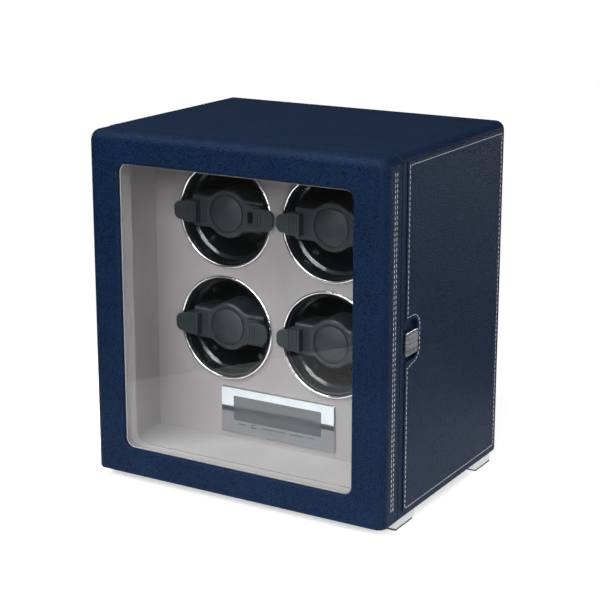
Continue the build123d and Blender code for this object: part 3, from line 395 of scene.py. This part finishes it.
def arc(centre, radius, start, end, steps=10):
    """Points of an arc in the (y, z) plane, angles in degrees."""
    points = []
    for step in range(steps + 1):
        angle = math.radians(start + (end - start) * step / steps)
        points.append((centre[0] + radius * math.cos(angle), centre[1] + radius * math.sin(angle)))
    return points


SEAM_LIFT = 0.05 * MM          # how far a row's middle stands off the leather
DOOR_ROWS = (8.2 * MM, 11.6 * MM)
DOOR_ROW_END = 12 * MM


def door_stitches():
    """Two close rows down the door's right-hand side, measured from its back face."""
    low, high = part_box("door_leather")
    bm = bmesh.new()
    x = high[0] + SEAM_LIFT
    for from_back in DOOR_ROWS:
        y = high[1] - from_back
        ends = [Vector((x, y, high[2] - DOOR_ROW_END)), Vector((x, y, low[2] + DOOR_ROW_END))]
        run_of_stitches(bm, ends, Vector((1, 0, 0)))
    finish_piece(bm, "door_side_stitches", THREAD, "door")


PANEL_INSET = 3.0 * MM
PANEL_CORNER = 2.0 * MM
NOTCH_CORNER = 11.0 * MM


def panel_stitches(node, sign):
    """One row round a side panel; on the right it skirts the latch's notch."""
    low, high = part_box(node)
    x = (high[0] if sign > 0 else low[0]) + sign * SEAM_LIFT
    y0, y1 = low[1] + PANEL_INSET, high[1] - PANEL_INSET
    z0, z1 = low[2] + PANEL_INSET, high[2] - PANEL_INSET
    corner = PANEL_CORNER
    route = []
    route += arc((y1 - corner, z1 - corner), corner, 0, 90, 3)
    route += arc((y0 + corner, z1 - corner), corner, 90, 180, 3)
    if sign > 0:
        notch_low, notch_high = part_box("latch_housing")
        top, bottom = notch_high[2] + PANEL_INSET, notch_low[2] - PANEL_INSET
        y_round = notch_high[1] + PANEL_INSET - NOTCH_CORNER
        route += [(y0, top)]
        route += arc((y_round, top - NOTCH_CORNER), NOTCH_CORNER, 90, 0, 8)
        route += arc((y_round, bottom + NOTCH_CORNER), NOTCH_CORNER, 0, -90, 8)
        route += [(y0, bottom - PANEL_INSET)]
    route += arc((y0 + corner, z0 + corner), corner, 180, 270, 3)
    route += arc((y1 - corner, z0 + corner), corner, 270, 360, 3)
    route.append(route[0])
    bm = bmesh.new()
    run_of_stitches(bm, [Vector((x, y, z)) for y, z in route], Vector((sign, 0, 0)))
    finish_piece(bm, f"{node}_stitches", THREAD, "cabinet")


BEAD_MARGIN = 8.6 * MM         # from the pane's edge, which the door covers
BEAD_RADIUS = 0.45 * MM
BEAD_CORNER = 8.0 * MM
BEAD_SIDES = 8


def window_edge_highlight():
    """Thin light grey bead where the glass meets the leather, a painted highlight standing in for the
    glint along the glass's edge.
    """
    low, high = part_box("door_glass")
    radius, corner = BEAD_RADIUS, BEAD_CORNER
    x = high[0] - BEAD_MARGIN - radius
    z0 = low[2] + BEAD_MARGIN + radius
    z1 = high[2] - BEAD_MARGIN - radius
    y = low[1]
    route = arc((x - corner, z1 - corner), corner, 0, 90)
    route += arc((-x + corner, z1 - corner), corner, 90, 180)
    route += arc((-x + corner, z0 + corner), corner, 180, 270)
    route += arc((x - corner, z0 + corner), corner, 270, 360)
    bm = bmesh.new()
    rings = []
    for index, (px, pz) in enumerate(route):
        before, after = route[index - 1], route[(index + 1) % len(route)]
        along = Vector((after[0] - before[0], 0, after[1] - before[1])).normalized()
        inward = Vector((-along.z, 0, along.x))
        ring = []
        for k in range(BEAD_SIDES):
            angle = 2 * math.pi * k / BEAD_SIDES
            place = Vector((px, y, pz)) + inward * radius * math.cos(angle)
            ring.append(bm.verts.new(place + Vector((0, radius * math.sin(angle), 0))))
        rings.append(ring)
    for ring, following in zip(rings, rings[1:] + rings[:1]):
        join_rings(bm, ring, following)
    bmesh.ops.recalc_face_normals(bm, faces=bm.faces)
    finish_piece(bm, "window_edge_highlight", EDGE_HIGHLIGHT, "door")


MARK_ROWS_UP = 9.0 * MM
MARK_HALF_DEPTH = 0.02 * MM
MARK_HALF_HEIGHT = 0.45 * MM
# Each mark: its middle from the plate's middle, its width, and the heights of its dashes, in mm.
TOUCH_MARKS = (
    (-36, 7, (0.0,)),
    (-24, 6, (1.2, -1.2)),
    (-4, 24, (0.0,)),
    (20, 13, (0.0,)),
    (34, 8, (0.0,)),
)


def touch_marks():
    """Five plain printed marks below the display, where the touch keys are."""
    low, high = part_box("control_bezel")
    y = low[1] - MARK_HALF_DEPTH
    z = low[2] + MARK_ROWS_UP
    middle = (low[0] + high[0]) / 2
    bm = bmesh.new()
    for offset, width, rows in TOUCH_MARKS:
        size = Vector((width * MM / 2, MARK_HALF_DEPTH, MARK_HALF_HEIGHT))
        for row in rows:
            centre = Vector((middle + offset * MM, y, z + row * MM))
            for vert in bmesh.ops.create_cube(bm, size=2.0)["verts"]:
                vert.co = centre + Vector(a * b for a, b in zip(vert.co, size))
    finish_piece(bm, "touch_key_marks", MARK, "cabinet")


# ---- studio ---------------------------------------------------------------------------

CAMERA_AZIMUTH = 30.73
CAMERA_ELEVATION = 14.3
CAMERA_DISTANCE = 1.425
CAMERA_TARGET = Vector((-0.0003, 0, 0.1821))
CAMERA_LENS = 98.1
CAMERA_SHIFT = -0.05
SENSOR_WIDTH = 36


def make_camera():
    """The photograph's viewing angle."""
    azimuth, elevation = math.radians(CAMERA_AZIMUTH), math.radians(CAMERA_ELEVATION)
    level = math.cos(elevation)
    back = Vector((math.sin(azimuth) * level, -math.cos(azimuth) * level, math.sin(elevation)))
    data = bpy.data.cameras.new("camera")
    data.lens = CAMERA_LENS
    data.sensor_width = SENSOR_WIDTH
    data.shift_y = CAMERA_SHIFT
    camera = bpy.data.objects.new("camera", data)
    camera.location = CAMERA_TARGET + back * CAMERA_DISTANCE
    camera.rotation_mode = "QUATERNION"
    camera.rotation_quaternion = (-back).to_track_quat("-Z", "Y")
    bpy.context.scene.collection.objects.link(camera)
    bpy.context.scene.camera = camera


def softbox(name, place, target, width, height, power):
    """A rectangular lamp aimed at a target; metres and watts."""
    data = bpy.data.lights.new(name, "AREA")
    data.shape = "RECTANGLE"
    data.size, data.size_y = width, height
    data.energy = power
    lamp = bpy.data.objects.new(name, data)
    lamp.location = place
    lamp.rotation_mode = "QUATERNION"
    lamp.rotation_quaternion = (Vector(target) - Vector(place)).to_track_quat("-Z", "Y")
    bpy.context.scene.collection.objects.link(lamp)


FLOOR_HALF = 0.55
FLOOR_FADE = (0.24, 0.5)       # distances from the middle where the floor starts and ends its fade
FLOOR_GLOW = 0.45


def floor_material():
    """Pale floor that fades out into the white surroundings."""
    pale = Material("pale_floor")
    pale.set(Base_Color=(0.93, 0.93, 0.93, 1.0), Roughness=0.9, Specular_IOR_Level=0.1)
    pale.set(Emission_Color=(1.0, 1.0, 1.0, 1.0), Emission_Strength=FLOOR_GLOW)
    distance = pale.add("ShaderNodeVectorMath", operation="LENGTH")
    pale.link(pale.place, distance.inputs[0])
    fade = pale.add("ShaderNodeMapRange", interpolation_type="SMOOTHSTEP")
    fade.inputs["From Min"].default_value = FLOOR_FADE[0]
    fade.inputs["From Max"].default_value = FLOOR_FADE[1]
    pale.link(distance.outputs["Value"], fade.inputs["Value"])
    clear = pale.add("ShaderNodeBsdfTransparent")
    mix = pale.add("ShaderNodeMixShader")
    pale.link(fade.outputs["Result"], mix.inputs[0])
    pale.link(pale.shader.outputs[0], mix.inputs[1])
    pale.link(clear.outputs[0], mix.inputs[2])
    pale.link(mix.outputs[0], pale.tree.nodes["Material Output"].inputs["Surface"])
    return pale.material


TENT_LOW = 0.04
TENT_HIGH = 0.6
TENT_RISE = (0.25, 0.9)        # heights in the view direction where the tent brightens
PANE_DEPTH = 3.5               # above the ray depth of a look straight through one pane of glass


def surroundings():
    """White seen directly or through the glass; as light, a soft tent that is brightest overhead."""
    world = bpy.data.worlds.new("studio")
    bpy.context.scene.world = world
    world.use_nodes = True
    tree = world.node_tree

    def add(kind, **values):
        node = tree.nodes.new(kind)
        for key, value in values.items():
            setattr(node, key, value)
        return node

    height = add("ShaderNodeSeparateXYZ")
    tree.links.new(add("ShaderNodeTexCoord").outputs["Generated"], height.inputs[0])
    tent = add("ShaderNodeMapRange", interpolation_type="SMOOTHSTEP")
    tent.inputs["From Min"].default_value = TENT_RISE[0]
    tent.inputs["From Max"].default_value = TENT_RISE[1]
    tent.inputs["To Min"].default_value = TENT_LOW
    tent.inputs["To Max"].default_value = TENT_HIGH
    tree.links.new(height.outputs["Z"], tent.inputs["Value"])
    light = tree.nodes["Background"]
    tree.links.new(tent.outputs["Result"], light.inputs["Strength"])
    light.inputs["Color"].default_value = (1.0, 1.0, 1.0, 1.0)
    white = add("ShaderNodeBackground")
    white.inputs["Color"].default_value = (1.0, 1.0, 1.0, 1.0)
    path = add("ShaderNodeLightPath")
    shallow = add("ShaderNodeMath", operation="LESS_THAN")
    tree.links.new(path.outputs["Ray Depth"], shallow.inputs[0])
    shallow.inputs[1].default_value = PANE_DEPTH
    through = add("ShaderNodeMath", operation="MULTIPLY")
    tree.links.new(path.outputs["Is Transmission Ray"], through.inputs[0])
    tree.links.new(shallow.outputs[0], through.inputs[1])
    seen = add("ShaderNodeMath", operation="MAXIMUM")
    tree.links.new(path.outputs["Is Camera Ray"], seen.inputs[0])
    tree.links.new(through.outputs[0], seen.inputs[1])
    mix = add("ShaderNodeMixShader")
    tree.links.new(seen.outputs[0], mix.inputs[0])
    tree.links.new(light.outputs[0], mix.inputs[1])
    tree.links.new(white.outputs[0], mix.inputs[2])
    tree.links.new(mix.outputs[0], tree.nodes["World Output"].inputs["Surface"])


def flat_sheet(name, half, material, place=(0.0, 0.0, 0.0), turn=0.0):
    """A flat square on the floor."""
    bm = bmesh.new()
    bmesh.ops.create_grid(bm, x_segments=1, y_segments=1, size=half)
    mesh = bpy.data.meshes.new(name)
    bm.to_mesh(mesh)
    bm.free()
    mesh.materials.append(material)
    sheet = bpy.data.objects.new(name, mesh)
    sheet.location = place
    sheet.rotation_euler = (0.0, 0.0, math.radians(turn))
    bpy.context.scene.collection.objects.link(sheet)
    return sheet


TABLE_GLOW = 0.8
TABLE_HALF = 0.36
TABLE_PLACE = (0.075, -0.215, 0.0004)
TABLE_TURN = 31.0


def table_reflection():
    """The near part of the white table as the glass and the metal see it, with its straight edge."""
    glow = bpy.data.materials.new("table_glow")
    glow.use_nodes = True
    tree = glow.node_tree
    light = tree.nodes.new("ShaderNodeEmission")
    light.inputs["Strength"].default_value = TABLE_GLOW
    path = tree.nodes.new("ShaderNodeLightPath")
    clear = tree.nodes.new("ShaderNodeBsdfTransparent")
    mix = tree.nodes.new("ShaderNodeMixShader")
    tree.links.new(path.outputs["Is Transmission Ray"], mix.inputs[0])
    tree.links.new(light.outputs[0], mix.inputs[1])
    tree.links.new(clear.outputs[0], mix.inputs[2])
    tree.links.new(mix.outputs[0], tree.nodes["Material Output"].inputs["Surface"])
    table = flat_sheet("table_glow", TABLE_HALF, glow, TABLE_PLACE, TABLE_TURN)
    table.visible_camera = False
    table.visible_diffuse = False
    table.visible_transmission = False
    table.visible_shadow = False


# Each lamp: name, place, target, width, height, and power in watts.
LAMPS = (
    ("key", (-0.5, -0.85, 1.5), (0, 0, 0.2), 0.6, 0.6, 20),
    ("front", (0.2, -1.75, 1.15), (0, 0, 0.15), 1.3, 0.8, 35),
    ("side", (1.65, -0.4, 0.7), (0, 0, 0.15), 0.15, 0.6, 11),
    ("side rear", (1.1, 1.2, 0.15), (0, 0, 0.15), 0.9, 0.28, 6.5),
    ("rear", (-1.2, 1.2, 0.15), (0, 0, 0.15), 1.0, 0.28, 8),
    ("fill", (0.75, -0.8, 0.4), (0.12, 0, 0.15), 0.3, 0.3, 1.6),
)


def studio():
    """Pale floor, white surroundings and soft lamps."""
    floor = flat_sheet("floor", FLOOR_HALF, floor_material())
    floor.visible_glossy = False
    table_reflection()
    surroundings()
    for lamp in LAMPS:
        softbox(*lamp)
    bpy.context.scene.view_settings.view_transform = "Standard"


make_camera()
studio()
dress_nodes()
door_stitches()
panel_stitches("side_panel_right", +1)
panel_stitches("side_panel_left", -1)
touch_marks()
window_edge_highlight()
